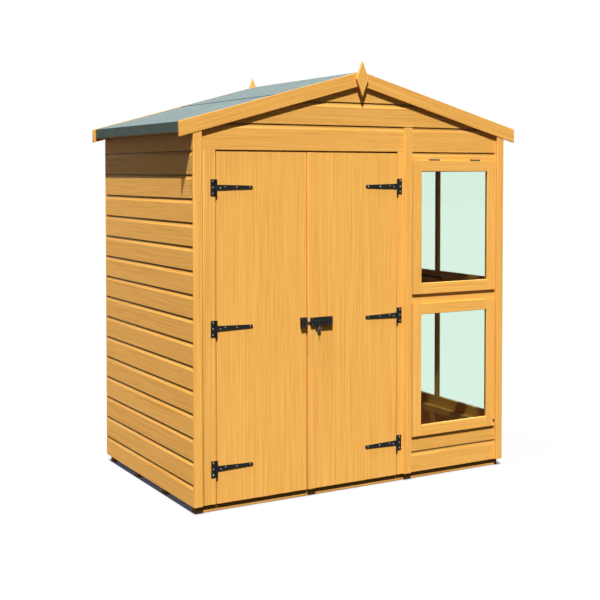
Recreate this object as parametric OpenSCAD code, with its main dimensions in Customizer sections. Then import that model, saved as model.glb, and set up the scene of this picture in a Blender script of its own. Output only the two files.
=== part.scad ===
// Small wooden garden shed: apex roof, double doors and glazing on two sides.
// Millimetres. The origin is on the ground under the middle of the shed, the front faces -Y and +Z is up.

/* [Overall] */
// Width over the side cladding
shed_w = 1830; // [1600:10:2400]
// Depth over the corner trims
shed_d = 1163; // [1000:1:2000]
// Height of the wall between the doorway's head and the eaves
header_h = 129; // [110:1:400]
// Pitch of the roof in degrees
roof_pitch = 15.25; // [12:0.25:25]

/* [Floor] */
// Height of the bearers
bearer_h = 28; // [20:1:60]
// Width of the bearers
bearer_w = 42; // [30:1:60]
// Number of bearers
bearer_count = 4; // [3:1:6]
// Inset of the bearer ends from the side cladding
bearer_end_inset = 16; // [10:1:60]
// Inset of the outer bearers from the faces of the corner trims
bearer_edge_inset = 23; // [16:1:60]
// Thickness of the floor
floor_t = 12; // [10:1:25]
// Gap between the door's back and the floor's front edge
floor_door_gap = 5; // [5:1:12]
// Height of the cladding's lower edge above the bearers
clad_lift = 6; // [5:1:10]

/* [Walls] */
// Thickness of the cladding boards
clad_t = 12; // [10:1:20]
// Depth of the framing behind the cladding
frame_t = 28; // [24:1:45]
// Width of studs and rails
stud_w = 34; // [28:1:50]
// Width of the corner trims and the cover strips
trim_w = 43; // [36:1:60]
// Thickness of the corner trims and the cover strips
trim_t = 12; // [10:1:20]
// Number of studs between the corner studs of the back wall
back_mid_studs = 2; // [1:1:4]

/* [Doors] */
// Width from the side of the shed to the doorway's left edge
left_jamb_w = 117; // [90:1:160]
// Width of the left leaf
left_leaf_w = 484; // [400:1:520]
// Width of the right leaf
right_leaf_w = 528; // [440:1:560]
// Height of the leaves
door_h = 1652; // [1400:1:2000]
// Gap between a leaf and its jamb
jamb_gap = 5; // [5:0.5:8]
// Gap between the two leaves
meeting_gap = 6; // [5:0.5:8]
// Thickness of the meeting strip
strip_t = 6; // [6:1:12]
// Gap over the leaves
head_gap = 8; // [5:1:12]
// Width of the right jamb that shows beside the cover strip
right_jamb_w = 40; // [30:1:60]
// How far the door posts stand back from the doorway
post_setback = 5; // [3:1:12]
// Height of a ledge
ledge_h = 95; // [70:1:120]
// Thickness of ledges and braces
ledge_t = 18; // [14:1:22]
// Inset of the ledges from the edges of a leaf
ledge_inset = 45; // [35:1:80]
// Distance of the outer ledges' middles from the head and the foot of a leaf
ledge_end = 167; // [120:1:300]
// Width of a brace
brace_w = 70; // [50:1:90]

/* [Windows] */
// Height of the boards under the windows
apron_h = 186; // [140:1:320]
// Height of the rail between the upper and the lower window
mid_rail_h = 50; // [40:1:80]
// Height of the rail over the upper window
top_rail_h = 44; // [34:1:70]
// Space between the front sashes and the strips beside them
front_margin = 8; // [4:1:20]
// Width of the stiles beside the side windows
side_margin = 21; // [12:1:40]
// Width of a sash member
sash_w = 56; // [40:1:70]
// Thickness of a sash
sash_t = 21; // [18:1:32]
// How far the sashes stand proud of the cladding
sash_proud = 9; // [2:1:12]
// Width of the upright bar in the side windows
bar_w = 28; // [20:1:45]
// Thickness of the panes
glass_t = 4; // [3:0.5:6]
// How far a pane reaches into its sash
glass_lap = 8; // [5:1:12]
// Length of a window hinge
sash_hinge_l = 65; // [45:1:90]
// Radius of a window hinge's knuckle
sash_hinge_r = 4; // [3:0.5:4.5]
// Distance between the two window hinges
sash_hinge_pitch = 268; // [180:1:320]

/* [Roof] */
// How far the roof reaches past the side walls
eaves_over = 57; // [45:1:120]
// How far the bargeboards run on past the eaves
barge_past = 14; // [0:1:30]
// Thickness of the roof boards
deck_t = 12; // [9:1:20]
// Thickness of one layer of roofing felt
felt_t = 2.5; // [2:0.5:4]
// Gap where sloping pieces of the roof lie on each other
roof_seat = 0.2; // [0.1:0.05:0.5]
// Height of the felt that is turned down at the eaves
felt_drop = 49; // [30:1:60]
// Distance from the ridge to the lower edge of the ridge felt, measured level
felt_lap = 470; // [300:5:640]
// Thickness of the eaves rails
eaves_rail_t = 28; // [20:1:36]
// Width of the ridge beam
ridge_w = 34; // [28:1:60]
// Height of the ridge beam at its sides
ridge_h = 45; // [30:1:90]
// Width of the bargeboards
barge_w = 68; // [50:1:110]
// Thickness of the bargeboards
barge_t = 14; // [10:1:24]
// Width of the finials
finial_w = 70; // [40:1:90]
// Height of the finials
finial_h = 180; // [140:1:240]
// Thickness of the finials
finial_t = 12; // [10:1:24]
// How far a finial's tip stands over the ridge
finial_rise = 52; // [40:1:90]

/* [Hinges] */
// Width of a hinge plate
plate_w = 23; // [18:1:30]
// Height of a hinge plate
plate_h = 76; // [60:1:100]
// Thickness of plates and straps
iron_t = 3; // [2:0.5:4]
// Outer radius of a hinge knuckle
knuckle_r = 4.5; // [4:0.25:4.75]
// Distance of a hinge pin from the face of the door
pin_stand = 5; // [5:0.25:6]
// Radius of a hinge pin
pin_r = 2.5; // [2:0.25:3]
// Length of a hinge pin's tail under its plate
pin_tail = 7; // [3:1:12]
// Running gap round pins and the bolt
pin_gap = 0.1; // [0.05:0.05:0.3]
// Gap between the knuckles of a hinge
knuckle_gap = 0.4; // [0.3:0.1:0.8]
// Length of a hinge strap
strap_l = 192; // [150:1:260]
// Height of a strap at its knuckle
strap_h = 25; // [20:1:30]
// Height of a strap at its round tip
strap_tip_h = 15; // [10:1:18]

/* [Lock] */
// Height of the lock's middle over the foot of the leaves
lock_z = 826; // [700:1:900]
// Length of the lock case
case_l = 124; // [100:1:150]
// Height of the lock case
case_h = 39; // [32:1:50]
// How far the lock case stands proud of the meeting strip
case_proud = 10; // [10:1:20]
// Setback of the lock case from the edge of the meeting strip
case_setback = 12; // [8:1:24]
// Radius of the bolt
bolt_r = 3; // [2.5:0.25:3.25]
// How far the bolt shows out of its case when it is drawn
bolt_show = 15; // [10:1:17]
// Travel of the bolt
bolt_throw = 28; // [20:1:32]
// Length of the keeper
keeper_l = 33; // [24:1:40]
// Height of the keeper
keeper_h = 45; // [36:1:60]
// Room round the bolt in the keeper
keeper_room = 1; // [0.75:0.25:1.25]
// Inset of the keeper from the edge of its leaf
keeper_inset = 2; // [1:0.5:6]
// Width of a key's bow
bow_w = 22; // [18:1:28]
// Length of a key's shank that shows under the lock
shank_l = 8; // [5:1:14]
// Thickness of a key
key_t = 2.4; // [2:0.2:3]
// Radius of the key ring, to the middle of its wire
ring_r = 9; // [7:0.5:9]
// Radius of the key ring's wire
wire_r = 1; // [0.8:0.1:1.4]

/* [Hidden] */
$fn = 48;

wood = "#e5a84f";
frame_wood = "#d39a4c";
board_wood = "#c98f45";
felt_grey = "#a0b6ba";
pane = "#d7f0e1";
iron = "#1c1d1f";
steel = "#b9b6ad";

// Levels
floor_z = bearer_h + floor_t;
wall_z = bearer_h + clad_lift;
head_z = wall_z + door_h + head_gap;
eaves_z = head_z + header_h;
apron_z = wall_z + apron_h;
sash_h = (head_z - apron_z - mid_rail_h - top_rail_h) / 2;
lower_sash_z = apron_z;
upper_sash_z = apron_z + sash_h + mid_rail_h;

// Layers of the walls, as half widths and half depths
half_w = shed_w / 2;
half_d = shed_d / 2;
face_y = half_d - trim_t;
back_y = face_y - clad_t;
inner_y = back_y - frame_t;
back_x = half_w - clad_t;
inner_x = back_x - frame_t;

// Roof: the underside of the boards meets the outer top edges of the side walls
slope = tan(roof_pitch);
upright = 1 / cos(roof_pitch);
roof_x = half_w + eaves_over;
deck_top = deck_t * upright;
lower_felt_z = deck_top + roof_seat;
lower_felt_top = lower_felt_z + felt_t * upright;
upper_felt_z = lower_felt_top + roof_seat;
upper_felt_top = upper_felt_z + felt_t * upright;
barge_drop = barge_w * upright;
barge_x = roof_x + barge_past;
flap_z = roof_z(roof_x) + lower_felt_top - felt_drop;

// Doorway, from left to right
left_leaf_x = -half_w + left_jamb_w + jamb_gap;
seam_x = left_leaf_x + left_leaf_w;
right_leaf_x = seam_x + meeting_gap;
right_edge_x = right_leaf_x + right_leaf_w;
right_jamb_x = right_edge_x + jamb_gap;
strip_x = right_jamb_x + right_jamb_w;
panel_x = strip_x + trim_w / 2;

// Front window, between the cover strip and the corner trim
front_sash_x = strip_x + trim_w + front_margin;
front_sash_end = half_w - trim_w - front_margin;

// Framing
rail_end_x = inner_x;
tie_z = eaves_z - stud_w;
post_a_end = -half_w + left_jamb_w - post_setback;
post_b_x = right_jamb_x + post_setback;
post_b_end = panel_x + stud_w;

// Hinges: the pins stand in front of the gaps beside the leaves
hinge_zs = [for (h = [ledge_end, door_h / 2, door_h - ledge_end]) wall_z + h];
pin_y = -face_y - pin_stand;
left_pin_x = left_leaf_x - jamb_gap / 2;
right_pin_x = right_edge_x + jamb_gap / 2;

// Lock
lock_mid_z = wall_z + lock_z;
case_x = right_leaf_x + case_setback;
strip_y = -face_y - strip_t;
bolt_y = strip_y - case_proud / 2;
bolt_l = case_l - bolt_throw;
keeper_x = seam_x - keeper_inset - keeper_l;
tunnel = 2 * (bolt_r + keeper_room);
key_x = case_x + case_l * 0.4;

// Height of the underside of the roof boards at a distance from the middle
function roof_z(x) = eaves_z + slope * (half_w - abs(x));

// Height of the pieces that carry the roof boards, at a distance from the middle
function seat_z(x) = roof_z(x) - roof_seat;

// Height of the lower edge of the bargeboards at a distance from the middle
function barge_foot(x) = roof_z(x) + upper_felt_top - barge_drop;

// A box between two corners
module block(x0, x1, y0, y1, z0, z1) {
    translate([x0, y0, z0]) cube([x1 - x0, y1 - y0, z1 - z0]);
}

// An outline in X and Z, made solid between two depths
module upright_plate(y0, y1) {
    translate([0, y1, 0]) rotate([90, 0, 0]) linear_extrude(y1 - y0) children();
}

// The children, and their mirror image on the other side
module both_sides() {
    children();
    mirror([1, 0, 0]) children();
}

// The children, and their mirror image at the other end
module both_ends() {
    children();
    mirror([0, 1, 0]) children();
}

// Floor
module floor_bearers() {
    run = shed_d - 2 * bearer_edge_inset - bearer_w;
    color(board_wood)
        for (i = [0:bearer_count - 1])
            translate([0, -half_d + bearer_edge_inset + i * run / (bearer_count - 1), 0])
                block(-half_w + bearer_end_inset, half_w - bearer_end_inset, 0, bearer_w, 0, bearer_h);
}

module floor_panel() {
    color(board_wood) block(-back_x, back_x, -back_y + floor_door_gap, back_y, bearer_h, floor_z);
}

// Side walls: a layer between two distances from the middle, whose top follows the roof
module side_layer(x0, x1, y0, y1, z0) {
    upright_plate(y0, y1) polygon([[x0, z0], [x1, z0], [x1, seat_z(x1)], [x0, seat_z(x0)]]);
}

module side_stud(y, z0, z1) {
    block(inner_x, back_x, y, y + stud_w, z0, z1);
}

module side_rail(z0, z1) {
    block(inner_x, back_x, -back_y, back_y, z0, z1);
}

module side_top_rail() {
    side_layer(inner_x, back_x, -back_y, back_y, tie_z);
}

module left_wall() {
    color(wood) mirror([1, 0, 0]) side_layer(back_x, half_w, -face_y, face_y, wall_z);
}

module left_wall_studs() {
    color(frame_wood) mirror([1, 0, 0])
        for (y = [-back_y, -stud_w / 2, back_y - stud_w]) side_stud(y, floor_z + stud_w, tie_z);
}

module left_wall_rails() {
    color(frame_wood) mirror([1, 0, 0]) {
        side_rail(floor_z, floor_z + stud_w);
        side_top_rail();
    }
}

module right_wall() {
    color(wood) {
        block(back_x, half_w, -face_y, face_y, wall_z, apron_z);
        side_layer(back_x, half_w, -face_y, face_y, head_z);
    }
}

module right_window_stiles() {
    color(wood) both_ends() block(back_x, half_w, -face_y, -face_y + side_margin, apron_z, head_z);
}

module right_window_rails() {
    color(wood) {
        block(back_x, half_w, -face_y + side_margin, face_y - side_margin,
              lower_sash_z + sash_h, upper_sash_z);
        block(back_x, half_w, -face_y + side_margin, face_y - side_margin,
              upper_sash_z + sash_h, head_z);
    }
}

module right_wall_studs() {
    color(frame_wood) {
        both_ends() side_stud(-back_y, floor_z + stud_w, apron_z - stud_w);
        both_ends() side_stud(-back_y, apron_z, tie_z);
        side_stud(-stud_w / 2, floor_z + stud_w, apron_z - stud_w);
    }
}

module right_wall_rails() {
    color(frame_wood) {
        side_rail(floor_z, floor_z + stud_w);
        side_rail(apron_z - stud_w, apron_z);
        side_top_rail();
    }
}

// Gable ends: a layer that fills the wall from a level up to the roof
module gable_layer(x, y0, y1, z0) {
    upright_plate(y0, y1) polygon([[-x, z0], [x, z0], [x, seat_z(x)], [0, seat_z(0)], [-x, seat_z(x)]]);
}

module king_stud() {
    gable_layer(stud_w / 2, -back_y, -inner_y, eaves_z);
}

module gable_post(x0, x1, z0, z1) {
    block(x0, x1, -back_y, -inner_y, z0, z1);
}

module gable_rail(x0, x1, z0, z1) {
    block(x0, x1, -back_y, -inner_y, z0, z1);
}

module back_wall() {
    color(wood) gable_layer(back_x, back_y, face_y, wall_z);
}

module back_wall_studs() {
    run = 2 * inner_x - stud_w;
    color(frame_wood) mirror([0, 1, 0]) {
        for (i = [0:back_mid_studs + 1])
            translate([i * run / (back_mid_studs + 1), 0, 0])
                gable_post(-inner_x, -inner_x + stud_w, floor_z + stud_w, tie_z);
        king_stud();
    }
}

module back_wall_rails() {
    color(frame_wood) mirror([0, 1, 0]) {
        gable_rail(-rail_end_x, rail_end_x, floor_z, floor_z + stud_w);
        gable_rail(-rail_end_x, rail_end_x, tie_z, eaves_z);
    }
}

module front_jambs() {
    color(wood) {
        block(-back_x, -half_w + left_jamb_w, -face_y, -back_y, wall_z, head_z);
        block(right_jamb_x, panel_x, -face_y, -back_y, wall_z, head_z);
    }
}

module front_gable() {
    color(wood) gable_layer(back_x, -face_y, -back_y, head_z);
}

module front_window_apron() {
    color(wood) block(panel_x, back_x, -face_y, -back_y, wall_z, apron_z);
}

module front_window_stiles() {
    color(wood) {
        block(panel_x, front_sash_x, -face_y, -back_y, apron_z, head_z);
        block(front_sash_end, back_x, -face_y, -back_y, apron_z, head_z);
    }
}

module front_window_rails() {
    color(wood) {
        block(front_sash_x, front_sash_end, -face_y, -back_y, lower_sash_z + sash_h, upper_sash_z);
        block(front_sash_x, front_sash_end, -face_y, -back_y, upper_sash_z + sash_h, head_z);
    }
}

module front_wall_studs() {
    color(frame_wood) {
        gable_post(-inner_x, post_a_end, floor_z, head_z);
        gable_post(post_b_x, post_b_end, floor_z, head_z);
        gable_post(inner_x - stud_w, inner_x, floor_z, head_z);
        king_stud();
    }
}

module front_wall_rails() {
    color(frame_wood) {
        gable_rail(-rail_end_x, rail_end_x, head_z, head_z + stud_w);
        gable_rail(-rail_end_x, rail_end_x, tie_z, eaves_z);
        for (z = [floor_z, apron_z - stud_w])
            gable_rail(post_b_end, inner_x - stud_w, z, z + stud_w);
    }
}

// Windows: a sash lies in its own plane with its face up, and is then stood upright
module sash(w, bars) {
    light_w = (w - 2 * sash_w - bars * bar_w) / (bars + 1);
    difference() {
        cube([w, sash_h, sash_t]);
        for (i = [0:bars])
            translate([sash_w + i * (light_w + bar_w), sash_w, 0]) {
                translate([0, 0, -1]) cube([light_w, sash_h - 2 * sash_w, sash_t + 2]);
                translate([-glass_lap, -glass_lap, -1])
                    cube([light_w + 2 * glass_lap, sash_h - 2 * sash_w + 2 * glass_lap, pane_seat() + 1]);
            }
    }
}

// The panes of a sash, against the lip of its rebate
module panes(w, bars) {
    light_w = (w - 2 * sash_w - bars * bar_w) / (bars + 1);
    for (i = [0:bars])
        translate([sash_w + i * (light_w + bar_w) - glass_lap, sash_w - glass_lap, pane_seat() - glass_t])
            cube([light_w + 2 * glass_lap, sash_h - 2 * sash_w + 2 * glass_lap, glass_t]);
}

// Height of the rebate's lip over the back of a sash
function pane_seat() = sash_t * 0.6;

module place_front_sash(z) {
    translate([front_sash_x, -face_y - sash_proud + sash_t, z]) rotate([90, 0, 0]) children();
}

module place_right_sash(z) {
    translate([half_w + sash_proud - sash_t, -face_y + side_margin, z])
        rotate([90, 0, 90]) children();
}

front_sash_w = front_sash_end - front_sash_x;
right_sash_w = 2 * (face_y - side_margin);

module front_sashes() {
    color(wood) for (z = [lower_sash_z, upper_sash_z]) place_front_sash(z) sash(front_sash_w, 0);
}

module right_sashes() {
    color(wood) for (z = [lower_sash_z, upper_sash_z]) place_right_sash(z) sash(right_sash_w, 1);
}

module window_glass() {
    color(pane, 0.5)
        for (z = [lower_sash_z, upper_sash_z]) {
            place_front_sash(z) panes(front_sash_w, 0);
            place_right_sash(z) panes(right_sash_w, 1);
        }
}

module window_hinges() {
    color(steel)
        for (side = [-1, 1])
            translate([(front_sash_x + front_sash_end + side * sash_hinge_pitch - sash_hinge_l) / 2,
                       -face_y - sash_hinge_r, upper_sash_z + sash_h + sash_hinge_r])
                rotate([0, 90, 0]) cylinder(r = sash_hinge_r, h = sash_hinge_l);
}

// Trims, which end under the bargeboards
module corner_trims() {
    inner = half_w - trim_w;
    color(wood) both_ends() both_sides()
        upright_plate(-half_d, -face_y)
            polygon([[inner, wall_z], [half_w, wall_z], [half_w, barge_foot(half_w) - roof_seat],
                     [inner, barge_foot(inner) - roof_seat]]);
}

module front_cover_strip() {
    color(wood) block(strip_x, strip_x + trim_w, -half_d, -face_y, wall_z, eaves_z - clad_lift);
}

// Roof, as deep as the boarded walls: a layer of one slope, between two heights over the boards' underside
module slope_layer(x0, x1, low, high) {
    upright_plate(-face_y, face_y)
        polygon([[x0, roof_z(x0) + low], [x1, roof_z(x1) + low],
                 [x1, roof_z(x1) + high], [x0, roof_z(x0) + high]]);
}

module roof_boards() {
    slope_layer(0, roof_x - felt_t, 0, deck_top);
}

module roof_felt() {
    edge = roof_x - felt_t;
    upright_plate(-face_y, face_y)
        polygon([[0, roof_z(0) + lower_felt_z], [edge, roof_z(edge) + lower_felt_z], [edge, flap_z],
                 [roof_x, flap_z], [roof_x, roof_z(roof_x) + lower_felt_top], [0, roof_z(0) + lower_felt_top]]);
}

module left_roof_boards() {
    color(board_wood) mirror([1, 0, 0]) roof_boards();
}

module right_roof_boards() {
    color(board_wood) roof_boards();
}

module left_roof_felt() {
    color(felt_grey) mirror([1, 0, 0]) roof_felt();
}

module right_roof_felt() {
    color(felt_grey) roof_felt();
}

module ridge_felt() {
    color(felt_grey) both_sides() slope_layer(0, felt_lap, upper_felt_z, upper_felt_top);
}

module ridge_beam() {
    color(frame_wood) gable_layer(ridge_w / 2, -inner_y, inner_y, roof_z(ridge_w / 2) - ridge_h);
}

module eaves_rails() {
    outer = roof_x - felt_t;
    inner = outer - eaves_rail_t;
    color(frame_wood) both_sides()
        upright_plate(-face_y, face_y)
            polygon([[inner, flap_z], [outer, flap_z], [outer, seat_z(outer)], [inner, seat_z(inner)]]);
}

module bargeboard() {
    top = upper_felt_top;
    upright_plate(-face_y - barge_t, -face_y)
        polygon([[0, roof_z(0) + top], [barge_x, roof_z(barge_x) + top],
                 [barge_x, barge_foot(barge_x)], [0, barge_foot(0)]]);
}

module left_bargeboards() {
    color(wood) mirror([1, 0, 0]) both_ends() bargeboard();
}

module right_bargeboards() {
    color(wood) both_ends() bargeboard();
}

module finials() {
    tip = roof_z(0) + upper_felt_top + finial_rise;
    mid = tip - finial_h / 2;
    color(wood) both_ends()
        upright_plate(-face_y - barge_t - finial_t, -face_y - barge_t)
            polygon([[0, tip], [finial_w / 2, mid], [0, tip - finial_h], [-finial_w / 2, mid]]);
}

// Doors
module leaf(x0, x1) {
    block(x0, x1, -face_y, -back_y, wall_z, wall_z + door_h);
}

module ledges(x0, x1) {
    for (z = hinge_zs)
        block(x0 + ledge_inset, x1 - ledge_inset, -back_y, -back_y + ledge_t, z - ledge_h / 2, z + ledge_h / 2);
}

// Braces rise from the hinge side, so that each leaf hangs from its lower corner
module braces(foot_x, head_x) {
    side = sign(head_x - foot_x);
    for (i = [0:1]) {
        low = hinge_zs[i] + ledge_h / 2;
        high = hinge_zs[i + 1] - ledge_h / 2;
        upright_plate(-back_y, -back_y + ledge_t)
            polygon([[foot_x, low], [foot_x + side * brace_w, low],
                     [head_x, high], [head_x - side * brace_w, high]]);
    }
}

module left_door() {
    color(wood) leaf(left_leaf_x, seam_x);
}

module left_door_ledges() {
    color(frame_wood) ledges(left_leaf_x, seam_x);
}

module left_door_braces() {
    color(frame_wood) braces(left_leaf_x + ledge_inset, seam_x - ledge_inset);
}

module right_door() {
    color(wood) leaf(right_leaf_x, right_edge_x);
}

module right_door_ledges() {
    color(frame_wood) ledges(right_leaf_x, right_edge_x);
}

module right_door_braces() {
    color(frame_wood) braces(right_edge_x - ledge_inset, right_leaf_x + ledge_inset);
}

module meeting_strip() {
    color(wood)
        block(right_leaf_x, right_leaf_x + trim_w, strip_y, -face_y, wall_z, wall_z + door_h);
}

// Hinges, drawn round the pin, with the strap towards +X
module hinge_plate() {
    outer_h = (plate_h - strap_h) / 2 - knuckle_gap;
    plate_end = -knuckle_r - knuckle_gap;
    translate([plate_end - plate_w, pin_stand - iron_t, -plate_h / 2]) cube([plate_w, iron_t, plate_h]);
    for (z = [-plate_h / 2, plate_h / 2 - outer_h])
        translate([0, 0, z]) {
            cylinder(r = knuckle_r, h = outer_h);
            translate([plate_end, pin_stand - iron_t, 0]) cube([-plate_end, iron_t, outer_h]);
        }
    translate([0, 0, -plate_h / 2 - pin_tail]) cylinder(r = pin_r, h = plate_h + pin_tail);
}

module hinge_strap() {
    tip_r = strap_tip_h / 2;
    tip_x = strap_l - tip_r;
    difference() {
        union() {
            translate([0, 0, -strap_h / 2]) cylinder(r = knuckle_r, h = strap_h);
            upright_plate(pin_stand - iron_t, pin_stand) {
                polygon([[0, -strap_h / 2], [tip_x, -tip_r], [tip_x, tip_r], [0, strap_h / 2]]);
                translate([tip_x, 0]) circle(r = tip_r);
            }
        }
        translate([0, 0, -strap_h]) cylinder(r = pin_r + pin_gap, h = 2 * strap_h);
    }
}

module at_hinges(pin_x) {
    for (z = hinge_zs) translate([pin_x, pin_y, z]) children();
}

module hinge_plates() {
    color(iron) {
        at_hinges(left_pin_x) hinge_plate();
        at_hinges(right_pin_x) mirror([1, 0, 0]) hinge_plate();
    }
}

module left_hinge_straps() {
    color(iron) at_hinges(left_pin_x) hinge_strap();
}

// A right strap is a left one turned upside down
module right_hinge_straps() {
    color(iron) at_hinges(right_pin_x) rotate([0, 180, 0]) hinge_strap();
}

// Lock: the case is stepped over the edge of the meeting strip
module lock_case() {
    color(iron)
        translate([case_x, 0, lock_mid_z]) difference() {
            union() {
                block(0, case_l, strip_y - case_proud, strip_y, -case_h / 2, case_h / 2);
                block(trim_w - case_setback, case_l, strip_y, -face_y, -case_h / 2, case_h / 2);
            }
            translate([-1, bolt_y, 0]) rotate([0, 90, 0])
                cylinder(r = bolt_r + pin_gap, h = case_l - bolt_throw / 2);
        }
}

module lock_bolt() {
    color(steel) translate([case_x - bolt_show, bolt_y, lock_mid_z]) rotate([0, 90, 0])
        cylinder(r = bolt_r, h = bolt_l);
}

module lock_keeper() {
    front = strip_y - case_proud;
    color(iron)
        translate([keeper_x, 0, lock_mid_z]) difference() {
            block(0, keeper_l, front, -face_y, -keeper_h / 2, keeper_h / 2);
            block(-1, keeper_l + 1, bolt_y - tunnel / 2, bolt_y + tunnel / 2, -tunnel / 2, tunnel / 2);
        }
}

// A key hangs under the case, with a ring through its bow
module lock_keys() {
    bow_z = -shank_l - bow_w / 2;
    hole_r = bow_w / 6;
    hole_z = bow_z - bow_w / 4;
    ring_top = hole_z - hole_r + wire_r + pin_gap;
    color(steel) translate([key_x, bolt_y, lock_mid_z - case_h / 2]) {
        upright_plate(-key_t / 2, key_t / 2) difference() {
            union() {
                translate([0, bow_z]) circle(d = bow_w);
                translate([-bow_w / 6, bow_z]) square([bow_w / 3, -bow_z]);
            }
            translate([0, hole_z]) circle(r = hole_r);
        }
        translate([0, 0, ring_top - ring_r]) rotate([0, 90, 0])
            rotate_extrude() translate([ring_r, 0]) circle(r = wire_r);
    }
}

floor_bearers();
floor_panel();  // floor
left_wall();
left_wall_studs();
left_wall_rails();
back_wall();
back_wall_studs();
back_wall_rails();
right_wall();
right_window_stiles();
right_window_rails();
right_wall_studs();
right_wall_rails();
right_sashes();
front_jambs();
front_gable();
front_window_apron();
front_window_stiles();
front_window_rails();
front_wall_studs();
front_wall_rails();
front_sashes();
window_glass();
window_hinges();
corner_trims();
front_cover_strip();
left_roof_boards();
right_roof_boards();
left_roof_felt();
right_roof_felt();
ridge_felt();
ridge_beam();
eaves_rails();
left_bargeboards();
right_bargeboards();
finials();
left_door();
left_door_ledges();
left_door_braces();
right_door();
right_door_ledges();
right_door_braces();
meeting_strip();
hinge_plates();
left_hinge_straps();
right_hinge_straps();
lock_case();
lock_bolt();
lock_keeper();
lock_keys();
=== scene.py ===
"""Looks of a wooden garden shed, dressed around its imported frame.

Everything is in metres in the frame's own axes: the front is at -Y, up is +Z.
"""
import math
import random

import bmesh
import bpy
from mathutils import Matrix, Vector


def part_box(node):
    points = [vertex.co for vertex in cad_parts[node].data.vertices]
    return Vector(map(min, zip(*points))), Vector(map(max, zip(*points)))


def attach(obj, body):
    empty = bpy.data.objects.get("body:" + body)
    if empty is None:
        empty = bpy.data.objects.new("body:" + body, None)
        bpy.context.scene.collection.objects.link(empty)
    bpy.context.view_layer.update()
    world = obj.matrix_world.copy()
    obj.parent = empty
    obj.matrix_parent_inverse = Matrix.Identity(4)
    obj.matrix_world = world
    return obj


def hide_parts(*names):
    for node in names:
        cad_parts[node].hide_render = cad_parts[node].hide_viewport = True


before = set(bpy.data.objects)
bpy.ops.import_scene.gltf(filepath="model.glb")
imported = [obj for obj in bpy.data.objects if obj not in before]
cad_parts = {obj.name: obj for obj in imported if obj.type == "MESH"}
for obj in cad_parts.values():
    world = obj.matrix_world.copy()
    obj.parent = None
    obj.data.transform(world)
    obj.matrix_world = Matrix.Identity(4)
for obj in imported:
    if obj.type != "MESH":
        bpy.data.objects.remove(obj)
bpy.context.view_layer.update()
scene = bpy.context.scene

MM = 0.001
X, Y, Z = Vector((1, 0, 0)), Vector((0, 1, 0)), Vector((0, 0, 1))
rng = random.Random(6782)

# Main places of the frame
HALF_W = 0.915
WALL_FOOT_Z = 0.034
HEAD_Z = 1.694
EAVES_Z = 1.823
ROOF_RISE = 0.27263
ROOF_SEAT = 0.2 * MM
CLAD_FACE = 0.5695
CLAD_T = 12 * MM
TRIM_W = 43 * MM
LOWER_SASH_Z, UPPER_SASH_Z = 0.220, 0.960
MID_RAIL_Z = (0.910, UPPER_SASH_Z)
TOP_RAIL_Z = (1.650, HEAD_Z)
HINGE_Z = (0.201, 0.860, 1.519)
LEFT_PIN_X, RIGHT_PIN_X = -0.7955, 0.2275
LOCK_Z = 0.860

# Mesh work: turns are in degrees
WELD_DIST = 1e-6
CUT_DIST = 1e-7
TOUCH = 0.1 * MM
FLAT_TURN = 0.5
EASED_TURN = 25
CREASE_TURN = 50
EASE_SEGMENTS = 2
NARROW_FACE = 5 * MM

# Grain: how far each board's piece of wood is shifted, and how far off the heart of its tree lies
ALONG_SHIFT = 40.0
ACROSS_SHIFT = 0.035
HEART_NEAR, HEART_FAR = 0.02, 0.06
LEAST_SIDE = 0.3

# Darkening of the wood: stain in end grain, painted shade in the coves and grooves of boarding and on
# the bearers under the wall, and a darker strip on the left jamb
END_GRAIN = 0.05 * MM
END_STAIN = 0.8
# Painted shade in the coves and grooves of boarding: vertices this far out of its back are darkened,
# more the deeper they lie
JOINT_SHADE_FRONT = 4.1 * MM
JOINT_SHADE_POWER = 3
# A darker strip on the jamb, along the left corner trim
JAMB_DARKENING = 0.26
JAMB_DARK_W = 15 * MM
JAMB_FADE = 4 * MM
# Painted shade on the bearers: their faces above the lit band at their foot, in the wall's shadow, and
# their ends, which are end grain as well
BEARER_LIT_H = 11 * MM
BEARER_SHADE_FADE = 1 * MM
BEARER_END = 1 * MM

# Shiplap boarding
TONGUE_T = 5.6 * MM
LIP_T = 6.0 * MM
LAP = 8 * MM
LAP_GAP = 1.0 * MM
GROOVE_H = 3 * MM
COVE_T = 8.4 * MM
COVE_H = 21 * MM
COVE_STEPS = 6
COVE_POWER = 1.5
BOARD_EASE = 0.8 * MM
BOARD_TURN = 40
BOARD_PITCH = 0.1108
LEAST_BOARD = 20 * MM
FIRST_JOINT = 0.139
GABLE_JOINTS = (1.821, 1.936)
APRON_JOINTS = (0.142,)

# Plain timber
EASE = 1.2 * MM
BARGE_EASE = 0.5 * MM
FINIAL_EASE = 2.0 * MM
FRAME_EASE = 1.6 * MM
DOOR_EASE = 0.3 * MM
LEDGE_EASE = 2.0 * MM
DECK_PITCH = 0.112
DOOR_PITCH = 0.126
DOOR_TONE_SWING = 0.3

# Sashes
SASH_H = 0.690
SASH_W = 56 * MM
SASH_T = 21 * MM
SASH_CHAMFER = 1.5 * MM
SASH_EASE = 0.5 * MM
GLASS_FRONT = 8.2 * MM
GLASS_BACK = 12.6 * MM
GLASS_LAP = 8.2 * MM
BEAD_GAP = 0.1 * MM
BEAD_CHAMFER = 2 * MM
BEAD_BACK = SASH_T - 0.5 * MM
BAR_W = 28 * MM
BAR_SINK = 0.5 * MM
PANE_EASE = 0.4 * MM

# Roofing felt
FELT_EASE = 0.8 * MM
# Faces that turn down or aside, below this upward share, take the felt's painted shade
FELT_UPWARD = 0.5

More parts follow.
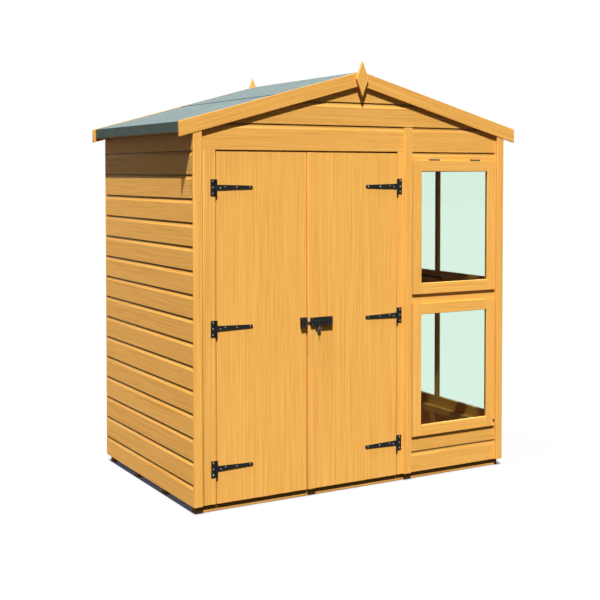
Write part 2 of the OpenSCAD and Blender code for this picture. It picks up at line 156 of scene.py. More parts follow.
# Ironwork: a screw's outline is (radius, height) in mm, its places on a strap are (run, rise)
IRON_FACE = -(CLAD_FACE + 3 * MM)
SCREW_OUTLINE = ((3.2, -0.3), (3.2, 0.3), (2.7, 1.0), (1.7, 1.5), (1.0, 1.6), (0.8, 0.7))
SCREW_STEPS = 14
PLATE_SCREW_RUN = 17 * MM
PLATE_SCREW_RISES = (-28 * MM, 0, 28 * MM)
STRAP_SCREWS = ((21 * MM, -3 * MM), (46 * MM, 3 * MM), (106 * MM, 0), (177 * MM, 0))
STRAP_SCREW_SCALE = 0.85
LOCK_SCREW_SCALE = 0.8
LOCK_SCREW_INSET = 6 * MM
BARREL_R = 6 * MM
BARREL_RISE = 2.5 * MM
BARREL_SINK = 0.5 * MM
BARREL_INSET = 0.5 * MM
BARREL_STEPS = 8
CASE_BARREL_L = 82 * MM

# Small window fittings: each peg is (foot, radius, length)
STAY_LOW, STAY_HIGH = (0.8935, -0.06, 0.975), (0.8965, 0.25, 0.985)
STAY_PEGS = (
    (Vector((0.903, -0.053, 0.970)), 4 * MM, 14 * MM),
    (Vector((0.903, 0.24, 0.980)), 5 * MM, 12 * MM),
)
PEG_STEPS = 12
FIXING_PLACE = Vector((0.8585, -0.5785, 0.251))
FIXING_OUTLINE = ((5 * MM, 0), (5 * MM, 3 * MM), (3 * MM, 5 * MM))

# Noise of the materials: scale in repeats per metre, detail, roughness
FIGURE = ((1.1, 26, 26), 3, 0.55)
FIBRE = ((12, 900, 900), 2, 0.6)
STREAK = ((2.4, 260, 260), 2, 0.5)
SWAY = ((1.3, 7, 7), 2, 0.5)
GRIT = ((900, 900, 900), 2, 0.7)
CLOUD = ((6, 6, 6), 3, 0.6)
SPECK_SCALE = 700.0

# Shares of what makes up the wood's colour, gloss and relief
FIGURE_SHARE, STREAK_SHARE, FIBRE_SHARE = 0.2, 1.3, 0.6
RING_GAP = 7 * MM
RING_SWAY = 0.05
STAIN_AND_SHADE_DEPTH = 0.6
WOOD_GLOSS_SWING = 0.25
WOOD_SPECULAR = 0.12
WOOD_RELIEF = 0.5 * MM
COLOUR_RELIEF = 0.5

# Shares of what makes up the felt
FELT_BASE = -0.25
GRIT_SHARE, CLOUD_SHARE, SPECK_SHARE = 0.8, 0.35, 0.35
FELT_ROUGH = 0.95
FELT_SPECULAR = 0.15
FELT_BUMP = 0.35
FELT_RELIEF = 0.6 * MM

# Metal and glass
METAL_GLOSS_SWING = 0.3
METAL_SPECULAR = 0.2
METAL_BUMP = 0.1
METAL_RELIEF = 0.2 * MM
PANE_TINT = (0.908, 0.968, 0.93, 1.0)
PANE_DIMMED = (0.42, 0.43, 0.38, 1.0)
PANE_ROUGH = 0.02
PANE_GLOSS, PANE_EDGE_GLOSS, PANE_EDGE_POWER = 0.003, 0.3, 5.0

# Camera, with angles in degrees
CAMERA_PLACE = (-3.0312, -5.2406, 1.5794)
CAMERA_DOWN, CAMERA_TURN = 1.9925, 29.9044
SENSOR_W = 36
LENS = 66.72
LENS_SHIFT = -0.145

# Lamps: name, strength, angle in degrees, direction of travel
LAMPS = (
    ("sun", 6.15, 1.2, (1, 1.8, -3.75)),
    ("side_sun", 1.85, 1.2, (1, 0.25, -3.75)),
    ("back_fill", 1.5, 25, (-1, -0.85, -0.4)),
)

# World and ground
WHITE = (1, 1, 1, 1)
SKY, HORIZON = 0.27, 0.01
SKY_COLOUR = (1.0, 0.98, 0.9, 1.0)
GROUND_REACH = 40
GROUND_DROP = 0.5 * MM
GROUND_BOUNCE = (0.02, 0.02, 0.02, 1)
GROUND_GLOW = 0.86
GROUND_THIN = (0.062, 0.062, 0.062, 1)
# Close to what stands on it the ground takes a painted contact shade, with a faint bluish glow painted
# into it
CONTACT_REACH = 0.06
CONTACT_SAMPLES = 16
CONTACT_NEAR, CONTACT_FAR = 0.6, 0.9
CONTACT_SHADE_GLOW = (0.05, 0.05, 0.075, 1)
CONTACT_ALBEDO = (0.38, 0.38, 0.38, 1)


# Mesh work


def islands(bm):
    """Groups of connected vertices, in the order of their first vertex."""
    reached, groups = set(), []
    for first in bm.verts:
        if first in reached:
            continue
        reached.add(first)
        stack, group = [first], []
        while stack:
            vert = stack.pop()
            group.append(vert)
            for edge in vert.link_edges:
                other = edge.other_vert(vert)
                if other not in reached:
                    reached.add(other)
                    stack.append(other)
        groups.append(group)
    return groups


def grain_run(group):
    """Direction of a group's longest edge, which is the way its grain runs."""
    edges = [edge for vert in group for edge in vert.link_edges]
    longest = max(edges, key=lambda edge: edge.calc_length())
    run = (longest.verts[1].co - longest.verts[0].co).normalized()
    return run if max(run, key=abs) > 0 else -run


def spread(group, direction):
    """How far a group of vertices reaches along a direction."""
    reach = [vert.co.dot(direction) for vert in group]
    return max(reach) - min(reach)


def stain_and_shade_layer(bm):
    """How much each vertex is darkened, from 0 to 1: stain in end grain, painted shade in joints and on
    the bearers, a darker strip on the jamb.
    """
    return bm.verts.layers.float.get("stain_and_shade") or bm.verts.layers.float.new("stain_and_shade")


def mark_grain(bm, along=None, swing=1.0):
    """Gives each board wood coordinates (along, across, through), its own tone and dark end grain."""
    place = bm.verts.layers.float_vector.new("wood_co")
    tone = bm.verts.layers.float.new("tone")
    stain_and_shade = stain_and_shade_layer(bm)
    for group in islands(bm):
        run = along or grain_run(group)
        sides = [run.cross(axis) for axis in (X, Y, Z)]
        sides = [side.normalized() for side in sides if side.length > LEAST_SIDE]
        wide = max(sides, key=lambda side: spread(group, side))
        deep = run.cross(wide)
        centre = sum((vert.co for vert in group), Vector()) / len(group)
        shift = Vector((
            rng.uniform(0, ALONG_SHIFT),
            rng.uniform(-ACROSS_SHIFT, ACROSS_SHIFT),
            rng.choice((-1, 1)) * rng.uniform(HEART_NEAR, HEART_FAR),
        ))
        own_tone = swing * rng.uniform(-1, 1)
        reach = [vert.co.dot(run) for vert in group]
        low, high = min(reach) + END_GRAIN, max(reach) - END_GRAIN
        for vert, far in zip(group, reach):
            at = vert.co - centre
            vert[place] = Vector((at.dot(run), at.dot(wide), at.dot(deep))) + shift
            vert[tone] = own_tone
            if not low < far < high:
                vert[stain_and_shade] = max(vert[stain_and_shade], END_STAIN)


def paint_joint_shade(bm, origin, out):
    """Paints shade into the coves and grooves of boarding, darker the deeper they lie behind its face.
    """
    stain_and_shade = stain_and_shade_layer(bm)
    for vert in bm.verts:
        through = (vert.co - origin).dot(out)
        if through > JOINT_SHADE_FRONT:
            depth = min(1.0, max(0.0, (CLAD_T - through) / (CLAD_T - COVE_T)))
            vert[stain_and_shade] = depth ** JOINT_SHADE_POWER


def all_of(bm):
    """Every vertex, edge and face, as a cut takes them."""
    return bm.verts[:] + bm.edges[:] + bm.faces[:]


def score(bm, point, normal):
    """Adds edges where the plane passes, so that a colour can end there."""
    bmesh.ops.bisect_plane(bm, geom=all_of(bm), dist=CUT_DIST, plane_co=point, plane_no=normal)


def cut(bm, point, normal):
    """Keeps what lies behind the plane and closes the cut."""
    bmesh.ops.bisect_plane(
        bm, geom=all_of(bm), dist=CUT_DIST, plane_co=point, plane_no=normal, clear_outer=True,
    )
    open_edges = [edge for edge in bm.edges if edge.is_boundary]
    if open_edges:
        bmesh.ops.holes_fill(bm, edges=open_edges, sides=0)


def round_edges(bm, width, least=EASED_TURN):
    """Rounds every edge that turns by more than the least angle, in degrees."""
    turn = math.radians(least)
    sharp = [e for e in bm.edges if len(e.link_faces) == 2 and e.calc_face_angle(0) > turn]
    bmesh.ops.bevel(
        bm, geom=sharp, offset=width, offset_type="OFFSET", segments=EASE_SEGMENTS, profile=0.5,
        affect="EDGES", clamp_overlap=True,
    )


def face_outwards(bm):
    """Turns every face of a closed mesh outwards."""
    bmesh.ops.recalc_face_normals(bm, faces=bm.faces)


def add_prism(bm, start, end):
    """A closed solid between two rings of as many points."""
    a = [bm.verts.new(p) for p in start]
    b = [bm.verts.new(p) for p in end]
    count = len(a)
    for i in range(count):
        j = (i + 1) % count
        bm.faces.new((a[i], a[j], b[j], b[i]))
    bm.faces.new(a[::-1])
    bm.faces.new(b)


def add_box(bm, low, high):
    """A box between its lowest and highest corners."""
    ring = ((low[0], low[1]), (high[0], low[1]), (high[0], high[1]), (low[0], high[1]))
    add_prism(bm, [(x, y, low[2]) for x, y in ring], [(x, y, high[2]) for x, y in ring])


def add_lathe(bm, centre, out, outline, steps):
    """A solid turned about out; outline gives (radius, height) from its foot to its top."""
    side = out.orthogonal().normalized()
    other = out.cross(side)
    rings = []
    for radius, height in outline:
        ring = []
        for i in range(steps):
            angle = 2 * math.pi * i / steps
            turned = side * math.cos(angle) + other * math.sin(angle)
            ring.append(bm.verts.new(centre + turned * radius + out * height))
        rings.append(ring)
    for low, high in zip(rings, rings[1:]):
        for i in range(steps):
            j = (i + 1) % steps
            bm.faces.new((low[i], low[j], high[j], high[i]))
    bm.faces.new(rings[0][::-1])
    bm.faces.new(rings[-1])


def append(bm, part):
    """Moves one mesh into another."""
    carrier = bpy.data.meshes.new("carrier")
    part.to_mesh(carrier)
    part.free()
    bm.from_mesh(carrier)
    bpy.data.meshes.remove(carrier)


def slice_boards(bm, across, pitch):
    """Cuts a slab into boards of about the pitch, side by side."""
    reach = [vert.co.dot(across) for vert in bm.verts]
    low, high = min(reach), max(reach)
    count = max(1, round((high - low) / pitch))
    step = (high - low) / count
    out = bmesh.new()
    for i in range(count):
        part = bm.copy()
        if i > 0:
            cut(part, across * (low + i * step), -across)
        if i < count - 1:
            cut(part, across * (low + (i + 1) * step), across)
        append(out, part)
    bm.free()
    return out


def node_mesh(node):
    """A node's solids as a welded mesh with plain faces."""
    bm = bmesh.new()
    bm.from_mesh(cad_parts[node].data)
    bmesh.ops.remove_doubles(bm, verts=bm.verts, dist=WELD_DIST)
    bmesh.ops.dissolve_limit(
        bm, angle_limit=math.radians(FLAT_TURN), verts=bm.verts, edges=bm.edges,
    )
    for layer in list(bm.loops.layers.uv.values()):
        bm.loops.layers.uv.remove(layer)
    return bm


def narrow_faces(bm):
    """Tells the narrow faces, such as rounded edges and coves, from the broad ones."""
    found = []
    for face in bm.faces:
        longest = max(edge.calc_length() for edge in face.edges)
        found.append(face.calc_area() < NARROW_FACE * longest)
    return found


def place_piece(bm, name, material, body, slot, *nodes):
    """Makes the piece, lets it ride on its body and stand for its nodes."""
    face_outwards(bm)
    smooth = narrow_faces(bm)
    mesh = bpy.data.meshes.new(name)
    bm.to_mesh(mesh)
    bm.free()
    mesh.materials.append(material)
    mesh.set_sharp_from_angle(angle=math.radians(CREASE_TURN))
    mesh.polygons.foreach_set("use_smooth", smooth)
    piece = bpy.data.objects.new(name, mesh)
    scene.collection.objects.link(piece)
    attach(piece, body)
    if nodes:
        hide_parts(*nodes)
    return piece


# Materials


def linear(red, green, blue):
    """Shader colour of a written colour, 0 to 255."""
    def one(value):
        value /= 255
        return value / 12.92 if value <= 0.04045 else ((value + 0.055) / 1.055) ** 2.4
    return one(red), one(green), one(blue), 1.0


def add_node(tree, kind, inputs=None, **settings):
    """A node with its settings; each input is given a value or linked to a socket."""
    node = tree.nodes.new(kind)
    for key, value in settings.items():
        setattr(node, key, value)
    for key, value in (inputs or {}).items():
        if isinstance(value, bpy.types.NodeSocket):
            tree.links.new(value, node.inputs[key])
        else:
            node.inputs[key].default_value = value
    return node


def maths(tree, operation, *values):
    """Outcome of a maths node on values or sockets."""
    return add_node(tree, "ShaderNodeMath", dict(enumerate(values)), operation=operation).outputs[0]


def attribute(tree, name):
    """A node that reads one of the layers made by mark_grain."""
    return add_node(tree, "ShaderNodeAttribute", attribute_name=name)


def noise(tree, where, scale, detail, rough):
    """Noise at where, stretched by the three scales."""
    mapped = add_node(tree, "ShaderNodeMapping", {"Vector": where, "Scale": scale}).outputs[0]
    made = add_node(tree, "ShaderNodeTexNoise", {
        "Vector": mapped, "Scale": 1.0, "Detail": detail, "Roughness": rough,
    })
    return made.outputs["Fac"]


def ramp(tree, fac, stops):
    """Colour between the stops, which are (place, colour)."""
    node = add_node(tree, "ShaderNodeValToRGB", {"Fac": fac})
    marks = node.color_ramp.elements
    while len(marks) < len(stops):
        marks.new(0.5)
    for mark, (at, colour) in zip(marks, stops):
        mark.position = at
        mark.color = colour
    return node.outputs["Color"]


def add_bump(tree, shader, height, strength, distance):
    """Relief of a surface, from its height."""
    raised = add_node(tree, "ShaderNodeBump", {
        "Height": height, "Strength": strength, "Distance": distance,
    })
    tree.links.new(raised.outputs["Normal"], shader.inputs["Normal"])


def start_material(name):
    """A new material with its nodes and its main shader."""
    material = bpy.data.materials.new(name)
    material.use_nodes = True
    tree = material.node_tree
    return material, tree, tree.nodes["Principled BSDF"]


def wood(name, stops, tone_swing, ring_depth, rough, bump):
    """Sawn timber: growth rings, long figure, fine fibres, and a tone of its own for each board."""
    material, tree, shader = start_material(name)
    place = attribute(tree, "wood_co").outputs["Vector"]
    tone = attribute(tree, "tone").outputs["Fac"]
    figure = noise(tree, place, *FIGURE)
    fibre = noise(tree, place, *FIBRE)
    streak = noise(tree, place, *STREAK)
    sway = noise(tree, place, *SWAY)

    flat = add_node(tree, "ShaderNodeVectorMath", {0: place, 1: (0, 1, 1)}, operation="MULTIPLY")
    radius = add_node(tree, "ShaderNodeVectorMath", {0: flat.outputs[0]}, operation="LENGTH")
    swayed = maths(tree, "MULTIPLY_ADD", sway, RING_SWAY, radius.outputs["Value"])
    ring = maths(tree, "SINE", maths(tree, "MULTIPLY", swayed, 2 * math.pi / RING_GAP))
    mixed = maths(tree, "MULTIPLY_ADD", ring, ring_depth, 0.5)
    for part, share in ((figure, FIGURE_SHARE), (streak, STREAK_SHARE), (fibre, FIBRE_SHARE)):
        weighed = maths(tree, "MULTIPLY", maths(tree, "SUBTRACT", part, 0.5), share)
        mixed = maths(tree, "ADD", mixed, weighed)

    colour = ramp(tree, mixed, stops)
    lift = maths(tree, "MULTIPLY_ADD", tone, tone_swing, 1.0)
    # Darker where the stain_and_shade layer says: stain in end grain, painted shade in joints and on
    # the bearers.
    stain_and_shade = attribute(tree, "stain_and_shade").outputs["Fac"]
    darker = maths(tree, "MULTIPLY_ADD", stain_and_shade, -STAIN_AND_SHADE_DEPTH, 1.0)
    lift = maths(tree, "MULTIPLY", lift, darker)
    shaded = add_node(tree, "ShaderNodeHueSaturation", {"Color": colour, "Value": lift})
    tree.links.new(shaded.outputs["Color"], shader.inputs["Base Color"])

    gloss = maths(tree, "MULTIPLY_ADD", fibre, WOOD_GLOSS_SWING, rough - WOOD_GLOSS_SWING / 2)
    tree.links.new(gloss, shader.inputs["Roughness"])
    shader.inputs["Specular IOR Level"].default_value = WOOD_SPECULAR
    height = maths(tree, "ADD", fibre, maths(tree, "MULTIPLY", mixed, COLOUR_RELIEF))
    add_bump(tree, shader, height, bump, WOOD_RELIEF)
    return material


def felt(name, stops):
    """Mineral roofing felt: grit of several greys, with faint cloudy patches."""
    material, tree, shader = start_material(name)
    place = add_node(tree, "ShaderNodeTexCoord").outputs["Object"]
    grit = noise(tree, place, *GRIT)
    cloud = noise(tree, place, *CLOUD)
    speck = add_node(tree, "ShaderNodeTexVoronoi", {"Vector": place, "Scale": SPECK_SCALE})
    pale = add_node(tree, "ShaderNodeSeparateColor", {"Color": speck.outputs["Color"]}).outputs[0]
    mixed = maths(tree, "MULTIPLY_ADD", grit, GRIT_SHARE, FELT_BASE)
    mixed = maths(tree, "ADD", mixed, maths(tree, "MULTIPLY", cloud, CLOUD_SHARE))
    mixed = maths(tree, "ADD", mixed, maths(tree, "MULTIPLY", pale, SPECK_SHARE))
    tree.links.new(ramp(tree, mixed, stops), shader.inputs["Base Color"])
    shader.inputs["Roughness"].default_value = FELT_ROUGH
    shader.inputs["Specular IOR Level"].default_value = FELT_SPECULAR
    add_bump(tree, shader, maths(tree, "ADD", grit, pale), FELT_BUMP, FELT_RELIEF)
    return material


def metal(name, stops, metallic, rough, grain):
    """Painted or plated metal with a faint mottle."""
    material, tree, shader = start_material(name)
    place = add_node(tree, "ShaderNodeTexCoord").outputs["Object"]
    mottle = noise(tree, place, (grain, grain, grain), 3, 0.6)
    tree.links.new(ramp(tree, mottle, stops), shader.inputs["Base Color"])
    gloss = maths(tree, "MULTIPLY_ADD", mottle, METAL_GLOSS_SWING, rough - METAL_GLOSS_SWING / 2)
    tree.links.new(gloss, shader.inputs["Roughness"])
    shader.inputs["Metallic"].default_value = metallic
    shader.inputs["Specular IOR Level"].default_value = METAL_SPECULAR
    add_bump(tree, shader, mottle, METAL_BUMP, METAL_RELIEF)
    return material


def mix_shaders(tree, fac, first, second):
    """The first shader where fac is 0, the second where it is 1."""
    return add_node(tree, "ShaderNodeMixShader", {
        "Fac": fac, 1: first.outputs[0], 2: second.outputs[0],
    })


def glass(name, tint, dimmed):
    """A thin clear pane: sight passes, tinted, lamps pass dimmed, with a plain gloss on top."""
    material, tree, shader = start_material(name)
    output = tree.nodes["Material Output"]
    tree.nodes.remove(shader)
    sight = add_node(tree, "ShaderNodeBsdfTransparent", {"Color": tint})
    lamp = add_node(tree, "ShaderNodeBsdfTransparent", {"Color": dimmed})
    shade = add_node(tree, "ShaderNodeLightPath").outputs["Is Shadow Ray"]
    clear = mix_shaders(tree, shade, sight, lamp)
    gloss = add_node(tree, "ShaderNodeBsdfGlossy", {"Color": WHITE, "Roughness": PANE_ROUGH})
    facing = add_node(tree, "ShaderNodeLayerWeight", {"Blend": 0.5}).outputs["Facing"]
    steep = maths(tree, "POWER", facing, PANE_EDGE_POWER)
    edge = maths(tree, "MULTIPLY_ADD", steep, PANE_EDGE_GLOSS, PANE_GLOSS)
    mix = mix_shaders(tree, edge, clear, gloss)
    tree.links.new(mix.outputs[0], output.inputs["Surface"])
    return material


HONEY = wood("honey_wood", (
    (0.10, linear(226, 152, 64)),
    (0.40, linear(243, 177, 84)),
    (0.60, linear(249, 186, 93)),
    (0.90, linear(254, 200, 112)),
), tone_swing=0.03, ring_depth=0.03, rough=0.55, bump=0.12)
SHIPLAP = wood("shiplap_wood", (
    (0.10, linear(216, 144, 60)),
    (0.40, linear(235, 171, 81)),
    (0.60, linear(242, 180, 90)),
    (0.90, linear(250, 195, 108)),
), tone_swing=0.03, ring_depth=0.04, rough=0.55, bump=0.12)
FRAME_WOOD = wood("frame_wood", (
    (0.10, linear(196, 128, 56)),
    (0.40, linear(226, 162, 80)),
    (0.62, linear(238, 180, 98)),
    (0.90, linear(248, 202, 128)),
), tone_swing=0.06, ring_depth=0.07, rough=0.68, bump=0.22)
BOARD_WOOD = wood("board_wood", (
    (0.10, linear(190, 132, 66)),
    (0.40, linear(218, 164, 90)),
    (0.62, linear(232, 184, 110)),
    (0.90, linear(244, 206, 140)),
), tone_swing=0.06, ring_depth=0.08, rough=0.72, bump=0.25)
FELT = felt("roofing_felt", (
    (0.05, linear(67, 77, 78)),
    (0.40, linear(94, 107, 107)),
    (0.65, linear(104, 117, 117)),
    (0.95, linear(132, 143, 142)),
))
# Painted shade: a darker copy of the felt, for its turned-down flaps and cut edges
FELT_SHADED = felt("roofing_felt_shaded", (
    (0.05, linear(48, 57, 54)),
    (0.40, linear(71, 84, 79)),
    (0.65, linear(83, 96, 91)),
    (0.95, linear(112, 124, 120)),
))
IRON = metal("black_iron", (
    (0.25, linear(9, 10, 10)),
    (0.75, linear(19, 20, 21)),
), metallic=0.0, rough=0.5, grain=500)
STEEL = metal("bright_steel", (
    (0.25, linear(150, 150, 146)),
    (0.75, linear(205, 205, 200)),
), metallic=1.0, rough=0.32, grain=300)
DARK_STEEL = metal("dulled_steel", (
    (0.25, linear(70, 70, 70)),
    (0.75, linear(104, 104, 102)),
), metallic=1.0, rough=0.45, grain=300)
GLASS = glass("pale_glass", PANE_TINT, PANE_DIMMED)


# Shiplap walls


def lap_outline(low, high, lapped, coved, tongue=LAP):
    """A board's outline as (out, up) points: out is measured from the back of the boarding."""
    if lapped:
        top = low + LAP + LAP_GAP
        points = [(0, top), (LIP_T, top), (LIP_T, low), (CLAD_T, low)]
    else:
        points = [(0, low), (CLAD_T, low)]
    if not coved:
        return points + [(CLAD_T, high), (0, high)]
    shoulder = high - GROOVE_H
    for step in range(COVE_STEPS + 1):
        share = 1 - step / COVE_STEPS
        out = COVE_T + (CLAD_T - COVE_T) * share ** COVE_POWER
        points.append((out, shoulder - COVE_H * share))
    return points + [(TONGUE_T, shoulder), (TONGUE_T, high + tongue), (0, high + tongue)]


def lap_wall(origin, out, along, span, heights, roof_cut):
    """Boards between the given heights; origin is a point on the back of the boarding, at z 0."""
    bm = bmesh.new()
    for i, (low, high) in enumerate(zip(heights, heights[1:])):
        outline = lap_outline(low, high, i > 0, i < len(heights) - 2)
        part = bmesh.new()
        ends = [[origin + out * t + Z * z + along * end for t, z in outline] for end in span]
        add_prism(part, *ends)
        if roof_cut:
            for side in (-1, 1):
                slope = Vector((side * ROOF_RISE, 0, 1)).normalized()
                cut(part, Vector((side * HALF_W, 0, EAVES_Z - ROOF_SEAT)), slope)
        face_outwards(part)
        round_edges(part, BOARD_EASE, BOARD_TURN)
        append(bm, part)
    # Painted shade in the coves and grooves of the boards.
    paint_joint_shade(bm, origin, out)
    return bm


def board_heights(low, high):
    """The ends of a side or back wall, with the board joints between them."""
    joints, at = [], FIRST_JOINT
    while at < high - LEAST_BOARD:
        if at > low + LEAST_BOARD:
            joints.append(at)
        at += BOARD_PITCH
    return [low, *joints, high]


def place_wall(bm, along, name, node):
    """Finishes the boards of a wall."""
    mark_grain(bm, along)
    place_piece(bm, name, SHIPLAP, "shed", "honey_wood", node)


def build_side_walls():
    """The left wall is boarded all over, the right one under and over its windows."""
    for side, node in ((-1, "left_wall"), (1, "right_wall")):
        low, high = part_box(node)
        reaches = [(low.z, high.z)]
        if node == "right_wall":
            reaches = [(WALL_FOOT_Z, LOWER_SASH_Z), (HEAD_Z, high.z)]
        origin = Vector((side * (HALF_W - CLAD_T), 0, 0))
        bm = bmesh.new()
        for foot, top in reaches:
            heights = board_heights(foot, top)
            append(bm, lap_wall(origin, X * side, Y, (low.y, high.y), heights, True))
        place_wall(bm, Y, node + "_boards", node)


def build_end_walls():
    """The back wall, and the boards over the doors and under the window."""
    low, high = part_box("back_wall")
    origin = Vector((0, CLAD_FACE - CLAD_T, 0))
    bm = lap_wall(origin, Y, X, (low.x, high.x), board_heights(low.z, high.z), True)
    place_wall(bm, X, "back_wall_boards", "back_wall")
    origin = Vector((0, CLAD_T - CLAD_FACE, 0))
    for node, name, joints, roof_cut in (
            ("front_gable", "front_gable_boards", GABLE_JOINTS, True),
            ("front_window_apron", "front_apron_boards", APRON_JOINTS, False)):
        low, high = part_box(node)
        bm = lap_wall(origin, -Y, X, (low.x, high.x), [low.z, *joints, high.z], roof_cut)
        place_wall(bm, X, name, node)


def build_window_rails():
    """The rails between the boards: the upper ones are coved under the lip of the boards over them."""
    for node, out, along, back in (("front_window_rails", -Y, X, CLAD_FACE - CLAD_T),
                                   ("right_window_rails", X, Y, HALF_W - CLAD_T)):
        low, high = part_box(node)
        span = (low.dot(along), high.dot(along))
        bm = bmesh.new()
        for (foot, top), coved in ((MID_RAIL_Z, False), (TOP_RAIL_Z, True)):
            outline = lap_outline(foot, top, False, coved, 0)
            ends = [[out * (back + t) + Z * z + along * end for t, z in outline] for end in span]
            add_prism(bm, *ends)
        face_outwards(bm)
        round_edges(bm, BOARD_EASE, BOARD_TURN)
        # Painted shade in the cove and groove of the upper rail.
        paint_joint_shade(bm, out * back, out)
        mark_grain(bm, along)
        place_piece(bm, node + "_wood", HONEY, "shed", "honey_wood", node)


# Plain timber: copies of the solids with eased edges and their own grain


def dress(node, material, slot, body="shed", ease=EASE, along=None, boards=None, swing=1.0):
    """Stands in for a node of timber; boards gives (direction, pitch) to slice a slab by."""
    bm = node_mesh(node)
    if boards:
        bm = slice_boards(bm, *boards)
        face_outwards(bm)
    round_edges(bm, ease)
    mark_grain(bm, along, swing)
    place_piece(bm, node + "_wood", material, body, slot, node)


def build_jambs():
    """Boards beside the doorway, darker in a strip along the left corner trim."""
    bm = node_mesh("front_jambs")
    round_edges(bm, EASE)
    start = TRIM_W - HALF_W
    end = start + JAMB_DARK_W
    stain_and_shade = stain_and_shade_layer(bm)
    for x in (start, end - JAMB_FADE, end):
        score(bm, X * x, X)
    for vert in bm.verts:
        if vert.co.x < end - TOUCH:
            vert[stain_and_shade] = JAMB_DARKENING
    mark_grain(bm)
    place_piece(bm, "front_jambs_wood", HONEY, "shed", "honey_wood", "front_jambs")


def build_bearers():
    """Bearers under the floor, with painted shade on their faces above a lit band at the foot and on
    their ends, which are end grain too.
    """
    bm = node_mesh("floor_bearers")
    round_edges(bm, FRAME_EASE)
    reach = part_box("floor_bearers")[1].x
    stain_and_shade = stain_and_shade_layer(bm)
    # Painted shade above the lit band at the foot of the bearers, and on their ends
    for z in (BEARER_LIT_H, BEARER_LIT_H + BEARER_SHADE_FADE):
        score(bm, Z * z, Z)
    for vert in bm.verts:
        if abs(vert.co.x) > reach - BEARER_END or vert.co.z > BEARER_LIT_H + TOUCH:
            vert[stain_and_shade] = 1.0
    mark_grain(bm)
    place_piece(bm, "floor_bearers_wood", FRAME_WOOD, "shed", "frame_wood", "floor_bearers")


def build_timber():
    """Trims, framing, floor, roof boards and doors."""
    for node in ("corner_trims", "front_cover_strip", "front_window_stiles", "right_window_stiles"):
        dress(node, HONEY, "honey_wood")
    build_jambs()
    for node in ("left_bargeboards", "right_bargeboards"):
        dress(node, SHIPLAP, "honey_wood", ease=BARGE_EASE)
    dress("finials", SHIPLAP, "honey_wood", ease=FINIAL_EASE, along=Z)
    for node in ("left_wall_studs", "left_wall_rails", "back_wall_studs", "back_wall_rails",
                 "right_wall_studs", "right_wall_rails", "front_wall_studs", "front_wall_rails",
                 "ridge_beam", "eaves_rails"):
        dress(node, FRAME_WOOD, "frame_wood", ease=FRAME_EASE)
    build_bearers()
    dress("floor", BOARD_WOOD, "board_wood", along=X, boards=(Y, DECK_PITCH))
    for side, node in ((-1, "left_roof_boards"), (1, "right_roof_boards")):
        down = Vector((side, 0, -ROOF_RISE)).normalized()
        dress(node, BOARD_WOOD, "board_wood", along=Y, boards=(down, DECK_PITCH))
    for body in ("left_door", "right_door"):
        dress(body, HONEY, "honey_wood", body, DOOR_EASE, Z, (X, DOOR_PITCH), DOOR_TONE_SWING)
        dress(body + "_ledges", FRAME_WOOD, "frame_wood", body, LEDGE_EASE, X)
        dress(body + "_braces", FRAME_WOOD, "frame_wood", body, LEDGE_EASE)
    dress("meeting_strip", HONEY, "honey_wood", "right_door")


# Windows


def frame_sides(bm, at, wide, tall, outline, inset):
    """Two stiles, and two rails between them.

    The outline gives (in, back) points, and at maps (across, up, back) to a place.
    """
    for start, sign in ((0, 1), (wide, -1)):
        ends = [[at(start + sign * d, up, back) for d, back in outline] for up in (0, tall)]
        add_prism(bm, *ends)
    for start, sign in ((0, 1), (tall, -1)):
        ends = [[at(across, start + sign * d, back) for d, back in outline]
                for across in (inset, wide - inset)]
        add_prism(bm, *ends)


def add_bar(bm, at, centre, low, high):
    """An upright bar between two lights, with its front edges chamfered."""
    half = BAR_W / 2
    lap = half - GLASS_LAP
    outline = [
        (-half + SASH_CHAMFER, 0), (half - SASH_CHAMFER, 0), (half, SASH_CHAMFER),
        (half, GLASS_FRONT), (lap, GLASS_FRONT), (lap, SASH_T), (-lap, SASH_T),
        (-lap, GLASS_FRONT), (-half, GLASS_FRONT), (-half, SASH_CHAMFER),
    ]
    add_prism(bm, *[[at(centre + d, up, back) for d, back in outline] for up in (low, high)])


def build_sash(at, wide, bars):
    """A sash with its chamfered face, rebate and glazing beads."""
    bm = bmesh.new()
    inner = SASH_W - GLASS_LAP
    frame_sides(bm, at, wide, SASH_H, [
        (0, 0), (SASH_W - SASH_CHAMFER, 0), (SASH_W, SASH_CHAMFER), (SASH_W, GLASS_FRONT),
        (inner, GLASS_FRONT), (inner, SASH_T), (0, SASH_T),
    ], SASH_W - SASH_CHAMFER)
    for centre in bars:
        add_bar(bm, at, centre, SASH_W - BAR_SINK, SASH_H - SASH_W + BAR_SINK)
    half = BAR_W / 2 - GLASS_LAP
    edges = [inner, *[c + side * half for c in bars for side in (-1, 1)], wide - inner]
    for start, end in zip(edges[::2], edges[1::2]):

        def light(across, up, back, start=start):
            return at(start + across, inner + up, back)

        frame_sides(bm, light, end - start, SASH_H - 2 * inner, [
            (BEAD_GAP, GLASS_BACK), (GLASS_LAP, GLASS_BACK), (GLASS_LAP, BEAD_BACK - BEAD_CHAMFER),
            (GLASS_LAP - BEAD_CHAMFER, BEAD_BACK), (BEAD_GAP, BEAD_BACK),
        ], GLASS_LAP)
    face_outwards(bm)
    round_edges(bm, SASH_EASE)
    mark_grain(bm)
    return bm


def front_place(low, _high, foot):
    """Maps (across, up, back) on a front sash to a place."""
    return lambda across, up, back: Vector((low.x + across, low.y + back, foot + up))


def right_place(low, high, foot):
    """Maps (across, up, back) on a right-hand sash to a place."""
    return lambda across, up, back: Vector((high.x - back, low.y + across, foot + up))


